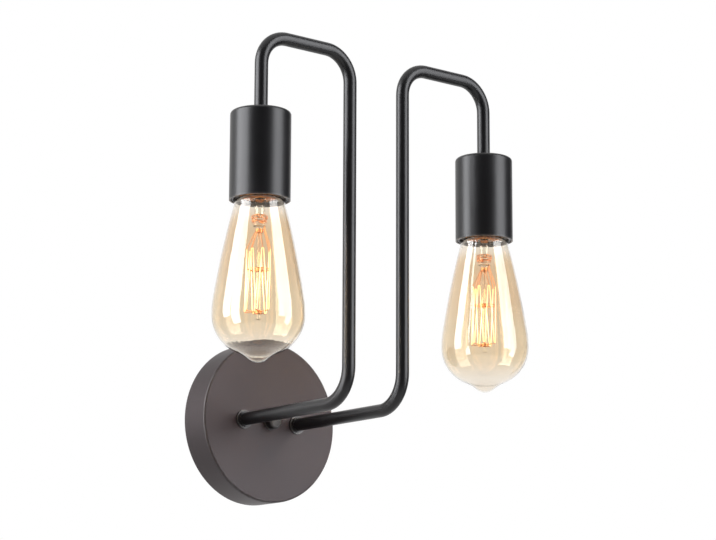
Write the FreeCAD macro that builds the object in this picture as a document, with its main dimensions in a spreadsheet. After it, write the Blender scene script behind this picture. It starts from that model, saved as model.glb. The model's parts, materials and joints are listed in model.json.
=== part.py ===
import FreeCAD, Part
import math
import os
from types import SimpleNamespace

import Sketcher

# Industrial pipe wall light: a round steel canopy carries two bent steel tubes, each with a metal
# cup, a screw lampholder and a long glass bulb that hangs mouth down.
# Frame, in millimetres: the origin is the centre of the canopy's back on the wall plane, +Y goes
# into the wall, +X to the right of someone who looks at the wall, +Z up.
# Turned pieces are drawn as half outlines (radius, height) and revolved about their own Z axis.

SIZES = {
    # canopy, a pressed steel pan
    "canopy_diameter": 120.0,
    "canopy_depth": 25.0,
    "canopy_wall": 1.0,
    "canopy_edge_radius": 1.6,
    # arms, bent from one length of tube each
    "arm_spacing": 49.0,
    "arm_projection": 149.0,
    "arm_height": 251.0,
    "arm_reach": 79.0,
    "tube_diameter": 9.5,
    "tube_wall": 0.75,
    "lower_bend_radius": 24.5,
    "upper_bend_radius": 21.5,
    # threaded nipples brazed into both ends of a tube, and what clamps on them
    "fit_gap": 0.05,
    "nipple_bore": 5.6,
    "nipple_in_tube": 10.0,
    "nipple_end": 1.5,
    "nut_across_flats": 12.5,
    "nut_height": 3.5,
    "lock_washer_diameter": 13.5,
    "lock_washer_thickness": 0.8,
    "collar_diameter": 13.8,
    "collar_flange": 1.4,
    "collar_neck_diameter": 11.2,
    "collar_neck": 1.8,
    # centre screw, its nut and the cap nut that holds the canopy on the crossbar
    "screw_diameter": 4.0,
    "screw_head_diameter": 7.6,
    "screw_head_height": 2.4,
    "screw_end_gap": 0.9,
    "bar_nut_across_flats": 7.0,
    "bar_nut_height": 3.2,
    "cap_nut_diameter": 10.8,
    "cap_nut_length": 7.0,
    "cap_nut_edge_radius": 1.8,
    "cap_nut_roof": 1.6,
    "cap_washer_diameter": 12.0,
    "cap_washer_thickness": 1.0,
    # crossbar that screws to the junction box
    "bar_width": 16.0,
    "bar_thickness": 1.6,
    "bar_offset": 5.0,
    "bar_slope": 5.0,
    "bar_end_margin": 6.3,
    "bar_foot_margin": 4.7,
    "slot_spacing": 79.4,
    "slot_length": 14.0,
    "slot_width": 4.6,
    # ground screw and its lead
    "ground_screw_drop": 16.0,
    "ground_screw_diameter": 4.8,
    "ground_screw_length": 4.5,
    "ground_head_diameter": 8.4,
    "ground_flange": 0.9,
    "ground_hex_across_flats": 6.4,
    "ground_hex_height": 2.6,
    "eye_rim": 0.8,
    "eye_thickness": 0.8,
    "ground_wire_diameter": 1.6,
    # insulated leads and twist-on wire connectors
    "lead_diameter": 2.0,
    "lead_clearance": 0.3,
    "lead_bend_radius": 3.2,
    "lead_kink_radius": 2.2,
    "lead_in_connector": 6.0,
    "lead_tail": 3.0,
    "lead_layer": 1.8,
    "lead_crossing_gap": 2.0,
    "lead_pass_drop": 1.5,
    "lead_pass_slant": 3.0,
    "connector_length": 22.0,
    "connector_grip": 3.0,
    "connector_mouth_diameter": 13.0,
    "connector_tip_diameter": 7.5,
    "connector_bore": 6.4,
    "connector_bore_depth": 16.0,
    "connector_side": 30.0,
    "connector_height": 22.0,
    "connector_clearance": 4.5,
    # lamp cups, heights counted up from the mouth
    "cup_mouth_height": 131.5,
    "cup_diameter": 42.5,
    "cup_height": 63.0,
    "cup_wall": 1.2,
    "cup_edge_radius": 2.6,
    "cup_crown": 1.0,
    "cup_seat_diameter": 15.0,
    "cup_collar_diameter": 13.4,
    "cup_collar_height": 2.4,
    "cup_collar_base": 0.8,
    # lampholder
    "holder_gap": 0.45,
    "holder_rim_recess": 0.8,
    "holder_face_recess": 2.4,
    "holder_rim_width": 1.5,
    "holder_roof": 5.0,
    "holder_chamfer": 1.0,
    "yoke_width": 12.0,
    "yoke_thickness": 1.5,
    "yoke_edge_margin": 1.6,
    "yoke_boss_diameter": 13.0,
    "yoke_boss_height": 5.5,
    "yoke_nut_gap": 3.3,
    "small_screw_diameter": 3.0,
    "small_screw_length": 8.0,
    "small_head_diameter": 4.4,
    "small_head_height": 1.5,
    "small_head_gap": 0.3,
    "terminal_margin": 2.9,
    "terminal_lead_gap": 1.8,
    "terminal_hole_depth": 4.0,
    "tongue_rise": 4.1,
    "tongue_width": 6.0,
    "tongue_thickness": 0.6,
    "tongue_length": 15.0,
    "contact_gap": 0.3,
    # screw thread shared by the bulb's cap and the holder's shell
    "thread_pitch": 3.629,
    "thread_diameter": 26.2,
    "thread_depth": 0.8,
    "thread_bead_radius": 1.1,
    "thread_clearance": 0.15,
    "thread_turns": 3.5,
    "thread_start": 4.6,
    "thread_root_clearance": 0.2,
    "shell_wall": 0.5,
    "shell_mouth_depth": 3.2,
    "shell_length": 21.6,
    # bulb, heights counted from the seam between its cap and its glass
    "seam_height": 1.6,
    "cap_skirt_inset": 0.2,
    "cap_skirt_height": 3.5,
    "cap_wall": 0.45,
    "cap_height": 18.9,
    "cap_lip": 1.9,
    "insulator_gap": 0.3,
    "insulator_base": 1.9,
    "insulator_shoulder": 0.5,
    "insulator_top": 24.0,
    "button_diameter": 9.4,
    "button_height": 2.0,
    "button_edge_radius": 0.8,
    "glass_wall": 0.8,
    "neck_in_cap": 3.2,
    "glass_ledge": 0.8,
    "shoulder_radius": 4.9,
    "shoulder_reach": 4.7,
    "shoulder_depth": 5.3,
    "side_radius": 700.0,
    "side_inset": 0.7,
    "side_length": 65.5,
    "belly_blend_radius": 70.0,
    "belly_diameter": 64.0,
    "belly_drop": 11.0,
    "bowl_radius": 27.7,
    "bowl_depth": 25.8,
    "funnel_diameter": 28.7,
    "funnel_radius": 25.7,
    "funnel_depth": 4.9,
    "glass_tip_diameter": 12.8,
    "glass_tip_radius": 9.5,
    "glass_tip_depth": 2.5,
    # inside the bulb
    "stem_flare_height": 2.3,
    "stem_flare_thickness": 0.8,
    "stem_diameter": 7.6,
    "stem_wall": 1.0,
    "stem_depth": 12.0,
    "press_diameter": 8.8,
    "press_depth": 20.0,
    "rod_diameter": 3.0,
    "rod_end": 4.0,
    "filament_diameter": 0.5,
    "filament_top": 36.8,
    "filament_bottom": 78.8,
    "filament_top_radius": 8.5,
    "filament_bottom_radius": 10.0,
    "filament_turn": 1.3,
    "filament_arc": 300.0,
    "support_wire_diameter": 0.6,
    "support_gap": 0.15,
    "hub_diameter": 5.0,
    "hub_height": 2.4,
    "upper_hub_depth": 24.5,
    "middle_ring_depth": 50.3,
    "lower_hub_depth": 81.0,
}

HAIRPINS = 6
RING_SPOKES = 3
FRONT = FreeCAD.Rotation(FreeCAD.Vector(1, 0, 0), 90)
UPRIGHT = FreeCAD.Rotation()
UPSIDE_DOWN = FreeCAD.Rotation(FreeCAD.Vector(1, 0, 0), 180)
SIDES = {"left": -1, "right": 1}

doc = FreeCAD.newDocument("pipe_wall_light")
nodes = []


class Length:
    """A number together with the sheet expression that gives it."""

    def __init__(self, number, text):
        self.number = number
        self.text = text

    def __add__(self, other):
        other = length(other)
        return Length(self.number + other.number, f"({self.text} + {other.text})")

    def __sub__(self, other):
        other = length(other)
        return Length(self.number - other.number, f"({self.text} - {other.text})")

    def __rsub__(self, other):
        return length(other) - self

    def __mul__(self, factor):
        factor = length(factor)
        return Length(self.number * factor.number, f"({self.text} * {factor.text})")

    def __truediv__(self, divisor):
        return Length(self.number / divisor, f"({self.text} / {divisor})")

    def __neg__(self):
        return self * -1

    __radd__ = __add__
    __rmul__ = __mul__


def length(value):
    """A plain number as a Length, or the Length itself."""
    if isinstance(value, Length):
        return value
    return Length(float(value), f"({value!r})")


def make_sheet():
    """Write every driving size into the sheet and return them by name."""
    sheet = doc.addObject("Spreadsheet::Sheet", "Size")
    for row, (alias, value) in enumerate(SIZES.items(), start=1):
        sheet.set(f"A{row}", alias)
        sheet.set(f"B{row}", str(value))
        sheet.setAlias(f"B{row}", alias)
    doc.recompute()
    return SimpleNamespace(**{alias: Length(value, f"Size.{alias}") for alias, value in SIZES.items()})


size = make_sheet()


def origin_plane(body, role):
    """One of a body's own origin planes."""
    for feature in body.Origin.OriginFeatures:
        if feature.Role == role:
            return feature
    raise ValueError(f"{body.Label} has no {role}")


def new_sketch(body, name, role):
    """An empty sketch on one of the body's origin planes."""
    sketch = body.newObject("Sketcher::SketchObject", name)
    sketch.AttachmentSupport = [(origin_plane(body, role), "")]
    sketch.MapMode = "FlatFace"
    return sketch


def constrain(sketch, kind, *places, value=None):
    """Add one constraint and bind its size to the sheet."""
    if value is None:
        sketch.addConstraint(Sketcher.Constraint(kind, *places))
        return
    index = sketch.addConstraint(Sketcher.Constraint(kind, *places, value.number))
    sketch.setExpression(f"Constraints[{index}]", value.text)


def pin_point(sketch, edge, end, across, along):
    """Hold one end of an edge, or a circle's centre, at a place given by two lengths."""
    for kind, axis, place in (("DistanceX", -2, length(across)), ("DistanceY", -1, length(along))):
        if place.number == 0 and "Size" not in place.text:
            constrain(sketch, "PointOnObject", edge, end, axis)
        else:
            constrain(sketch, kind, -1, 1, edge, end, value=place)


def arc_between(start, finish, radius):
    """The minor arc from start to finish: a positive radius turns left on the way, a negative one right."""
    chord = finish - start
    middle = (start + finish) / 2
    left = FreeCAD.Vector(-chord.y, chord.x, 0).normalize()
    height = math.sqrt(max(radius**2 - chord.Length**2 / 4, 0))
    centre = middle + left * math.copysign(height, radius)
    ends = (start, finish) if radius > 0 else (finish, start)
    angles = [math.atan2((end - centre).y, (end - centre).x) for end in ends]
    return Part.ArcOfCircle(Part.Circle(centre, FreeCAD.Vector(0, 0, 1), abs(radius)), *angles)


def draw(sketch, outline):
    """Draw a closed outline. A third item in a corner is the radius of the arc that arrives there."""
    corners = [(length(corner[0]), length(corner[1])) for corner in outline]
    points = [FreeCAD.Vector(across.number, along.number, 0) for across, along in corners]
    edges = []
    for index, start in enumerate(points):
        target = (index + 1) % len(points)
        radius = outline[target][2] if len(outline[target]) == 3 else None
        if radius is None:
            edge = sketch.addGeometry(Part.LineSegment(start, points[target]), False)
            edges.append((edge, 1, 2))
            continue
        edge = sketch.addGeometry(arc_between(start, points[target], radius.number), False)
        size_of_arc = radius if radius.number > 0 else -radius
        constrain(sketch, "Radius", edge, value=size_of_arc)
        edges.append((edge, 1, 2) if radius.number > 0 else (edge, 2, 1))
    for index, (edge, first, last) in enumerate(edges):
        after, after_first, _ = edges[(index + 1) % len(edges)]
        constrain(sketch, "Coincident", edge, last, after, after_first)
    for (edge, first, _), (across, along) in zip(edges, corners):
        pin_point(sketch, edge, first, across, along)


def draw_circle(sketch, across, along, diameter):
    """Draw a circle about a bound centre."""
    centre = FreeCAD.Vector(length(across).number, length(along).number, 0)
    circle = Part.Circle(centre, FreeCAD.Vector(0, 0, 1), diameter.number / 2)
    edge = sketch.addGeometry(circle, False)
    constrain(sketch, "Diameter", edge, value=diameter)
    pin_point(sketch, edge, 3, across, along)


def draw_slot(sketch, along, slot_length, slot_width):
    """Draw a slot with round ends whose long way runs up the sketch."""
    half = slot_width / 2
    straight = slot_length / 2 - half
    edges = []
    for centre_along, way in ((along + straight, 0), (along - straight, math.pi)):
        centre = FreeCAD.Vector(0, centre_along.number, 0)
        circle = Part.Circle(centre, FreeCAD.Vector(0, 0, 1), half.number)
        edge = sketch.addGeometry(Part.ArcOfCircle(circle, way, way + math.pi), False)
        pin_point(sketch, edge, 3, 0, centre_along)
        constrain(sketch, "Radius", edge, value=half)
        edges.append(edge)
    upper, lower = edges
    for first, last, side_x in ((upper, lower, -half.number), (lower, upper, half.number)):
        line = sketch.addGeometry(
            Part.LineSegment(
                FreeCAD.Vector(side_x, sketch.getPoint(first, 2).y, 0),
                FreeCAD.Vector(side_x, sketch.getPoint(last, 1).y, 0),
            ),
            False,
        )
        constrain(sketch, "Tangent", first, 2, line, 1)
        constrain(sketch, "Tangent", line, 2, last, 1)


def place(piece, x=0, y=0, z=0, turn=UPRIGHT):
    """Turn a piece and bind its place to the sheet."""
    piece.Placement = FreeCAD.Placement(FreeCAD.Vector(), turn)
    for axis, distance in (("x", x), ("y", y), ("z", z)):
        piece.setExpression(f"Placement.Base.{axis}", length(distance).text)


def keep(piece, label):
    """Name a finished piece and list it for export."""
    piece.Label = label
    nodes.append(piece)
    return piece


def new_body(name):
    return doc.addObject("PartDesign::Body", name)


def turned(name, outline):
    """A body turned from one closed half outline."""
    body = new_body(name)
    sketch = new_sketch(body, f"{name}_outline", "XZ_Plane")
    draw(sketch, outline)
    revolution = body.newObject("PartDesign::Revolution", f"{name}_turned")
    revolution.Profile = sketch
    revolution.ReferenceAxis = (sketch, ["V_Axis"])
    revolution.Angle = 360
    doc.recompute()
    return body


def padded(body, sketch, height, both_ways=False):
    """Add a pad of the sketch to the body."""
    pad = body.newObject("PartDesign::Pad", f"{sketch.Name}_pad")
    pad.Profile = sketch
    pad.setExpression("Length", height.text)
    pad.Midplane = both_ways
    doc.recompute()
    return pad


def drilled(body, sketch):
    """Cut the sketch right through the body, and make sure that it removed something."""
    before = body.Shape.Volume
    pocket = body.newObject("PartDesign::Pocket", f"{sketch.Name}_cut")
    pocket.Profile = sketch
    pocket.Type = "ThroughAll"
    pocket.Midplane = True
    doc.recompute()
    if not body.Shape.Volume < before:
        raise ValueError(f"{sketch.Name} cut nothing")


def sunk(body, sketch, depth):
    """Cut the sketch to a depth below its plane, and make sure that it removed something."""
    before = body.Shape.Volume
    pocket = body.newObject("PartDesign::Pocket", f"{sketch.Name}_cut")
    pocket.Profile = sketch
    pocket.setExpression("Length", depth.text)
    doc.recompute()
    if not body.Shape.Volume < before:
        raise ValueError(f"{sketch.Name} cut nothing")


def ring(name, outer, inner, height):
    """A flat ring between two diameters."""
    return turned(name, [(inner / 2, 0), (outer / 2, 0), (outer / 2, height), (inner / 2, height)])


def hexagon(across_flats):
    """The six corners of a hexagon."""
    half = across_flats / 2
    corner = across_flats / math.sqrt(3)
    return [
        (half, corner / 2),
        (0, corner),
        (-half, corner / 2),
        (-half, -corner / 2),
        (0, -corner),
        (half, -corner / 2),
    ]


def hex_nut(name, across_flats, bore, height):
    """A hexagon nut with a plain bore at the thread's outside diameter."""
    body = new_body(name)
    sketch = new_sketch(body, f"{name}_hexagon", "XY_Plane")
    draw(sketch, hexagon(across_flats))
    draw_circle(sketch, 0, 0, bore)
    padded(body, sketch, height)
    return body


def rounded_path(name, points, bend_radii):
    """Straight runs through the points, joined by tangent arcs."""
    edges = []
    start = points[0]
    for index in range(1, len(points) - 1):
        corner = points[index]
        back = (points[index - 1] - corner).normalize()
        ahead = (points[index + 1] - corner).normalize()
        half_turn = (math.pi - back.getAngle(ahead)) / 2
        setback = bend_radii[index - 1] * math.tan(half_turn)
        arc_start = corner + back * setback
        arc_end = corner + ahead * setback
        towards_centre = (back + ahead).normalize()
        centre = corner + towards_centre * (bend_radii[index - 1] / math.cos(half_turn))
        arc_middle = centre - towards_centre * bend_radii[index - 1]
        edges.append(Part.LineSegment(start, arc_start).toShape())
        edges.append(Part.Arc(arc_start, arc_middle, arc_end).toShape())
        start = arc_end
    edges.append(Part.LineSegment(start, points[-1]).toShape())
    path = doc.addObject("Part::Feature", f"{name}_path")
    path.Shape = Part.Wire(edges)
    return path


def swept(name, path, diameter):
    """A round bar of the given diameter along the path."""
    first = path.Shape.Edges[0]
    start = first.valueAt(first.FirstParameter)
    heading = first.tangentAt(first.FirstParameter)
    section = doc.addObject("Part::Circle", f"{name}_section")
    section.setExpression("Radius", (diameter / 2).text)
    section.Placement = FreeCAD.Placement(start, FreeCAD.Rotation(FreeCAD.Vector(0, 0, 1), heading))
    sweep = doc.addObject("Part::Sweep", name)
    sweep.Sections = [section]
    sweep.Spine = (path, [f"Edge{index + 1}" for index in range(len(path.Shape.Edges))])
    sweep.Solid = True
    sweep.Frenet = False
    doc.recompute()
    return sweep


def joined(name, pieces):
    """One object that holds the pieces fused, or side by side where they don't touch."""
    fuse = doc.addObject("Part::MultiFuse", name)
    fuse.Shapes = pieces
    doc.recompute()
    return fuse


def less(name, base, tool):
    """The base with the tool cut away."""
    cut = doc.addObject("Part::Cut", name)
    cut.Base = base
    cut.Tool = tool
    doc.recompute()
    return cut


def vector(x, y, z):
    return FreeCAD.Vector(*(length(part).number for part in (x, y, z)))


tube_bore = size.tube_diameter - size.tube_wall * 2
nipple_hole = tube_bore
nipple_diameter = nipple_hole - size.fit_gap * 2
screw_hole = size.screw_diameter + size.fit_gap * 2
face = size.canopy_depth
inner_face = size.canopy_depth - size.canopy_wall
collar_height = size.collar_flange + size.collar_neck
arm_nut_inner = inner_face - size.lock_washer_thickness - size.nut_height
lower_nipple_end = arm_nut_inner - size.nipple_end
arm_foot = face + collar_height
arm_x = size.arm_spacing / 2
cup_x = arm_x + size.arm_reach
lead_offset = (size.nipple_bore - size.lead_diameter) / 2 - size.lead_clearance
connector_level = inner_face - size.connector_mouth_diameter / 2 - size.connector_clearance

cup_top = size.cup_height + size.cup_crown
cup_inner_top = cup_top - size.cup_wall
arm_end = cup_top + size.cup_collar_height
cup_bore = size.cup_diameter - size.cup_wall * 2
holder_diameter = cup_bore - size.holder_gap * 2

cap_root_diameter = size.thread_diameter - size.thread_depth * 2
cap_skirt_diameter = size.thread_diameter - size.cap_skirt_inset * 2
shell_crest_diameter = cap_root_diameter + size.thread_root_clearance * 2
shell_mouth_diameter = size.thread_diameter + size.thread_root_clearance * 2
shell_diameter = shell_mouth_diameter + size.shell_wall * 2
shell_top = size.holder_face_recess + size.shell_length
contact_top = size.seam_height + size.insulator_top + size.button_height
holder_ceiling = contact_top + size.contact_gap + size.tongue_rise
holder_top = holder_ceiling + size.holder_roof

yoke_top = cup_inner_top - size.nut_height - size.yoke_nut_gap - size.yoke_boss_height
yoke_height = yoke_top - holder_top
yoke_tip = holder_diameter / 2 - size.yoke_edge_margin
yoke_foot = size.small_head_diameter + size.small_head_gap * 2
yoke_screw_spacing = (yoke_tip - yoke_foot / 2) * 2
upper_nipple_end = yoke_top - size.yoke_thickness - size.nipple_end
terminal_spacing = holder_diameter - (size.small_head_diameter / 2 + size.terminal_margin) * 2
terminal_to_lead = size.small_head_diameter / 2 + size.terminal_lead_gap + size.lead_diameter / 2
lead_hole_spacing = terminal_spacing - terminal_to_lead * 2


def build_canopy():
    """Pressed pan with a rounded front edge, two arm holes and a centre hole."""
    outer = size.canopy_diameter / 2
    inner = outer - size.canopy_wall
    edge = size.canopy_edge_radius
    inner_edge = edge - size.canopy_wall
    body = turned(
        "canopy",
        [
            (outer, 0),
            (outer, face - edge),
            (outer - edge, face, edge),
            (0, face),
            (0, inner_face),
            (outer - edge, inner_face),
            (inner, face - edge, -inner_edge),
            (inner, 0),
        ],
    )
    holes = new_sketch(body, "canopy_holes", "XY_Plane")
    draw_circle(holes, arm_x, 0, nipple_hole)
    draw_circle(holes, -arm_x, 0, nipple_hole)
    draw_circle(holes, 0, 0, screw_hole)
    drilled(body, holes)
    place(body, turn=FRONT)
    keep(body, "canopy")


def build_crossbar():
    """Flat steel strip with a raised middle, a slot in each end and holes for its two screws."""
    body = new_body("crossbar")
    side = new_sketch(body, "crossbar_side", "YZ_Plane")
    half = (size.slot_spacing + size.slot_length) / 2 + size.bar_end_margin
    foot = (size.slot_spacing - size.slot_length) / 2 - size.bar_foot_margin
    middle = foot - size.bar_slope
    low = size.bar_thickness
    high = size.bar_offset + size.bar_thickness
    draw(
        side,
        [
            (half, 0),
            (half, low),
            (foot, low),
            (middle, high),
            (-middle, high),
            (-foot, low),
            (-half, low),
            (-half, 0),
            (-foot, 0),
            (-middle, size.bar_offset),
            (middle, size.bar_offset),
            (foot, 0),
        ],
    )
    padded(body, side, size.bar_width, both_ways=True)
    for end, along in (("upper", size.slot_spacing / 2), ("lower", -size.slot_spacing / 2)):
        slot = new_sketch(body, f"crossbar_{end}_slot", "XY_Plane")
        draw_slot(slot, along, size.slot_length, size.slot_width)
        drilled(body, slot)
    holes = new_sketch(body, "crossbar_holes", "XY_Plane")
    draw_circle(holes, 0, 0, screw_hole)
    draw_circle(holes, 0, -size.ground_screw_drop, size.ground_screw_diameter + size.fit_gap * 2)
    drilled(body, holes)
    place(body, turn=FRONT)
    keep(body, "crossbar")


def build_centre_fixings():
    """The screw through the crossbar, its nut, and the washer and cap nut outside the canopy."""
    head = size.screw_head_diameter / 2
    shank = size.screw_diameter / 2
    cap_bore_end = size.cap_nut_length - size.cap_nut_roof
    cap_seat = face + size.cap_washer_thickness
    reach = cap_seat + cap_bore_end - size.screw_end_gap - size.bar_offset
    screw = turned(
        "centre_screw",
        [
            (0, -size.screw_head_height),
            (head, -size.screw_head_height),
            (head, 0),
            (shank, 0),
            (shank, reach),
            (0, reach),
        ],
    )
    place(screw, y=-size.bar_offset, turn=FRONT)
    keep(screw, "centre_screw")
    nut = hex_nut("crossbar_nut", size.bar_nut_across_flats, screw_hole, size.bar_nut_height)
    place(nut, y=-(size.bar_offset + size.bar_thickness), turn=FRONT)
    keep(nut, "crossbar_nut")
    washer = ring("cap_nut_washer", size.cap_washer_diameter, screw_hole, size.cap_washer_thickness)
    place(washer, y=-face, turn=FRONT)
    keep(washer, "cap_nut_washer")
    edge = size.cap_nut_edge_radius
    outer = size.cap_nut_diameter / 2
    bore = screw_hole / 2
    cap = turned(
        "cap_nut",
        [
            (bore, 0),
            (outer, 0),
            (outer, size.cap_nut_length - edge),
            (outer - edge, size.cap_nut_length, edge),
            (0, size.cap_nut_length),
            (0, cap_bore_end),
            (bore, cap_bore_end),
        ],
    )
    place(cap, y=-cap_seat, turn=FRONT)
    keep(cap, "cap_nut")


def build_ground():
    """Green ground screw, the eye and bare wire under its head, and the wire's connector."""
    screw_z = -size.ground_screw_drop
    bar_front = size.bar_offset + size.bar_thickness
    shank = size.ground_screw_diameter / 2
    flange = size.ground_head_diameter / 2
    body = turned(
        "ground_screw",
        [
            (0, -size.ground_screw_length),
            (shank, -size.ground_screw_length),
            (shank, 0),
            (flange, 0),
            (flange, size.ground_flange),
            (0, size.ground_flange),
        ],
    )
    hexagon_sketch = new_sketch(body, "ground_screw_hexagon", "XY_Plane")
    draw(hexagon_sketch, hexagon(size.ground_hex_across_flats))
    padded(body, hexagon_sketch, size.ground_flange + size.ground_hex_height)
    place(body, y=-(bar_front + size.eye_thickness), z=screw_z, turn=FRONT)
    keep(body, "ground_screw")
    eye_diameter = size.ground_head_diameter + size.eye_rim * 2
    eye = ring(
        "ground_eye", eye_diameter, size.ground_screw_diameter + size.fit_gap * 2, size.eye_thickness
    )
    place(eye, y=-bar_front, z=screw_z, turn=FRONT)
    wire_level = -(bar_front + size.ground_wire_diameter / 2)
    start = size.ground_head_diameter / 2 + size.eye_rim / 2
    points = [
        vector(start, wire_level, screw_z),
        vector(size.connector_side / 2, wire_level, screw_z),
        vector(size.connector_side, -connector_level, screw_z),
        vector(size.connector_side, -connector_level, -(size.connector_height + size.lead_in_connector)),
    ]
    route = rounded_path("ground_wire", points, [size.lead_bend_radius.number] * 2)
    wire = swept("ground_wire", route, size.ground_wire_diameter)
    keep(joined("ground_lead", [eye, wire]), "ground_lead")


def build_connectors():
    """Twist-on connectors: hot and neutral point up, the ground one points down."""
    mouth = size.connector_mouth_diameter / 2
    tip = size.connector_tip_diameter / 2
    bore = size.connector_bore / 2
    outline = [
        (bore, 0),
        (mouth, 0),
        (mouth, size.connector_grip),
        (tip, size.connector_length),
        (0, size.connector_length),
        (0, size.connector_bore_depth),
        (bore, size.connector_bore_depth),
    ]
    connectors = []
    for wire, side, up, turn in (
        ("hot", -1, 1, UPRIGHT),
        ("neutral", 1, 1, UPRIGHT),
        ("ground", 1, -1, UPSIDE_DOWN),
    ):
        body = turned(f"{wire}_connector", outline)
        place(
            body,
            x=size.connector_side * side,
            y=-connector_level,
            z=size.connector_height * up,
            turn=turn,
        )
        connectors.append(body)
    keep(joined("wire_connectors", connectors), "wire_connectors")


def build_arm(side, sign):
    """One bent tube: out from the canopy, up, sideways and down to its cup."""
    x_in = arm_x * sign
    x_out = cup_x * sign
    end = size.cup_mouth_height + arm_end
    points = [
        vector(x_in, -arm_foot, 0),
        vector(x_in, -size.arm_projection, 0),
        vector(x_in, -size.arm_projection, size.arm_height),
        vector(x_out, -size.arm_projection, size.arm_height),
        vector(x_out, -size.arm_projection, end),
    ]
    upper = size.upper_bend_radius.number
    bends = [size.lower_bend_radius.number, upper, upper]
    route = rounded_path(f"{side}_arm", points, bends)
    outside = swept(f"{side}_arm_outside", route, size.tube_diameter)
    inside = swept(f"{side}_arm_inside", route, tube_bore)
    keep(less(f"{side}_arm", outside, inside), f"{side}_arm")


def build_arm_clamps():
    """A lock washer and a nut on each arm's nipple, inside the canopy."""
    washers = []
    nuts = []
    for side, sign in SIDES.items():
        washer = ring(
            f"{side}_lock_washer", size.lock_washer_diameter, nipple_hole, size.lock_washer_thickness
        )
        place(washer, x=arm_x * sign, y=-(inner_face - size.lock_washer_thickness), turn=FRONT)
        washers.append(washer)
        nut = hex_nut(f"{side}_arm_nut", size.nut_across_flats, nipple_hole, size.nut_height)
        place(nut, x=arm_x * sign, y=-arm_nut_inner, turn=FRONT)
        nuts.append(nut)
    keep(joined("lock_washers", washers), "lock_washers")
    keep(joined("arm_nuts", nuts), "arm_nuts")


def build_arm_fixings(side, sign):
    """The collar outside the canopy and the nipple that runs through it into the arm."""
    x = arm_x * sign
    neck = size.collar_neck_diameter / 2
    flange = size.collar_diameter / 2
    collar = turned(
        f"{side}_arm_collar",
        [
            (nipple_hole / 2, 0),
            (flange, 0),
            (flange, size.collar_flange),
            (neck, size.collar_flange),
            (neck, collar_height),
            (nipple_hole / 2, collar_height),
        ],
    )
    place(collar, x=x, y=-face, turn=FRONT)
    keep(collar, f"{side}_arm_collar")
    nipple_length = arm_foot + size.nipple_in_tube - lower_nipple_end
    nipple = ring(f"{side}_arm_nipple", nipple_diameter, size.nipple_bore, nipple_length)
    place(nipple, x=x, y=-lower_nipple_end, turn=FRONT)
    keep(nipple, f"{side}_arm_nipple")


def hang(piece, sign, height=0):
    """Place a piece on a cup's axis, at a height above the cup's mouth."""
    place(piece, x=cup_x * sign, y=-size.arm_projection, z=size.cup_mouth_height + height)


def build_cup(side, sign):
    """Drawn cup, the collar on its crown, the nipple through it and the nut under it."""
    outer = size.cup_diameter / 2
    inner = cup_bore / 2
    edge = size.cup_edge_radius
    inner_edge = edge - size.cup_wall
    seat = size.cup_seat_diameter / 2
    under = size.cup_height - size.cup_wall
    cup = turned(
        f"{side}_cup",
        [
            (inner, 0),
            (outer, 0),
            (outer, size.cup_height - edge),
            (outer - edge, size.cup_height, edge),
            (seat, cup_top),
            (nipple_hole / 2, cup_top),
            (nipple_hole / 2, cup_inner_top),
            (seat, cup_inner_top),
            (outer - edge, under),
            (inner, size.cup_height - edge, -inner_edge),
        ],
    )
    hang(cup, sign)
    keep(cup, f"{side}_cup")
    base = size.cup_collar_diameter / 2
    tube = size.tube_diameter / 2
    collar = turned(
        f"{side}_cup_collar",
        [
            (nipple_hole / 2, 0),
            (base, 0),
            (base, size.cup_collar_base),
            (tube, size.cup_collar_height),
            (nipple_hole / 2, size.cup_collar_height),
        ],
    )
    hang(collar, sign, cup_top)
    keep(collar, f"{side}_cup_collar")
    nipple_length = arm_end + size.nipple_in_tube - upper_nipple_end
    nipple = ring(f"{side}_cup_nipple", nipple_diameter, size.nipple_bore, nipple_length)
    hang(nipple, sign, upper_nipple_end)
    keep(nipple, f"{side}_cup_nipple")
    nut = hex_nut(f"{side}_cup_nut", size.nut_across_flats, nipple_hole, size.nut_height)
    hang(nut, sign, cup_inner_top - size.nut_height)
    keep(nut, f"{side}_cup_nut")


def build_yoke(side, sign):
    """Bent strap with a threaded boss: it carries the lampholder on the nipple."""
    body = new_body(f"{side}_holder_yoke")
    front = new_sketch(body, f"{side}_yoke_front", "XZ_Plane")
    tip = yoke_tip
    leg = yoke_tip - yoke_foot
    thick = size.yoke_thickness
    top = yoke_height
    draw(
        front,
        [
            (tip, 0),
            (tip, thick),
            (leg, thick),
            (leg, top),
            (-leg, top),
            (-leg, thick),
            (-tip, thick),
            (-tip, 0),
            (thick - leg, 0),
            (thick - leg, top - thick),
            (leg - thick, top - thick),
            (leg - thick, 0),
        ],
    )
    padded(body, front, size.yoke_width, both_ways=True)
    boss = new_sketch(body, f"{side}_yoke_boss", "XY_Plane")
    boss.setExpression("AttachmentOffset.Base.z", (top - thick).text)
    draw_circle(boss, 0, 0, size.yoke_boss_diameter)
    padded(body, boss, thick + size.yoke_boss_height)
    holes = new_sketch(body, f"{side}_yoke_holes", "XY_Plane")
    draw_circle(holes, 0, 0, nipple_hole)
    draw_circle(holes, yoke_screw_spacing / 2, 0, size.small_screw_diameter + size.fit_gap * 2)
    draw_circle(holes, -yoke_screw_spacing / 2, 0, size.small_screw_diameter + size.fit_gap * 2)
    drilled(body, holes)
    hang(body, sign, holder_top)
    keep(body, f"{side}_holder_yoke")


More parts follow.
